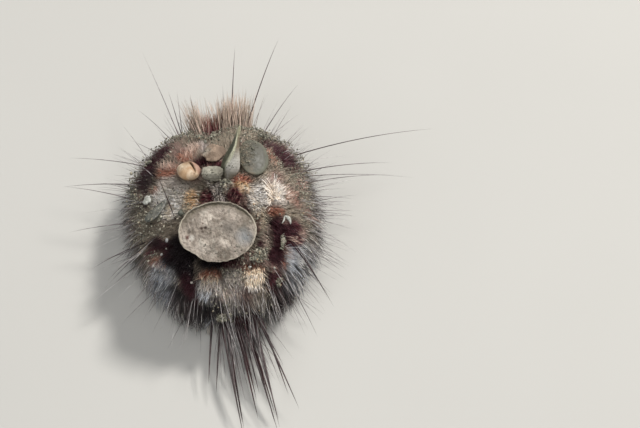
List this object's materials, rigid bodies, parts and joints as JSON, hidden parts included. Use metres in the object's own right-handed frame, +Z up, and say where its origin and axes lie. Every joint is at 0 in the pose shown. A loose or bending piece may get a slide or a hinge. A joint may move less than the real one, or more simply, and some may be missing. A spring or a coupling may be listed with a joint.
{
  "type": "fine-spined heart urchin",
  "caption": "Life-size heart urchin lying on the seabed, a low domed body under a coat of fine spines with longer spines standing out, wearing bits of shell on its back.",
  "frame": {"origin": "on the floor under the middle of the test, at the flat end of the spine that stands there", "axes": "+Z up, +Y towards the animal's front, +X towards its right side"},
  "size_m": [0.1063, 0.1159, 0.0356],
  "materials": {
    "apical_disc": "matt pinkish brown",
    "petal_front": "matt dark plum",
    "petal_front_right": "matt plum",
    "petal_front_left": "matt reddish brown",
    "petal_rear_right": "matt dark plum",
    "petal_rear_left": "matt dark plum",
    "shoulder_right": "matt brown with plum patches",
    "shoulder_left": "matt brown with plum patches",
    "flank_right": "matt cream with plum bands",
    "flank_left": "matt grey cream with plum bands",
    "rump": "matt brown and cream",
    "periproct": "matt pinkish brown",
    "tail_pad": "matt plum",
    "plastron": "matt cream",
    "mouth": "matt pinkish brown",
    "underside_right": "matt cream",
    "underside_left": "matt cream",
    "worn_shell_large": "chalky grey beige shell",
    "worn_shell_upright": "olive grey shell",
    "worn_disc": "smooth grey green shell",
    "worn_snail": "cream peach shell",
    "worn_stone": "grey green rubble",
    "worn_chip": "pinkish brown shell",
    "worn_sliver": "grey blue shell"
  },
  "bodies": {
    "root": {"apical_disc": "apical_disc", "petal_front": "petal_front", "petal_front_right": "petal_front_right", "petal_front_left": "petal_front_left", "petal_rear_right": "petal_rear_right", "petal_rear_left": "petal_rear_left", "shoulder_right": "shoulder_right", "shoulder_left": "shoulder_left", "flank_right": "flank_right", "flank_left": "flank_left", "rump": "rump", "periproct": "periproct", "tail_pad": "tail_pad", "plastron": "plastron", "mouth": "mouth", "underside_right": "underside_right", "underside_left": "underside_left", "worn_shell_large": "worn_shell_large", "worn_shell_upright": "worn_shell_upright", "worn_disc": "worn_disc", "worn_snail": "worn_snail", "worn_stone": "worn_stone", "worn_chip": "worn_chip", "worn_sliver": "worn_sliver"}
  },
  "joints": []
}
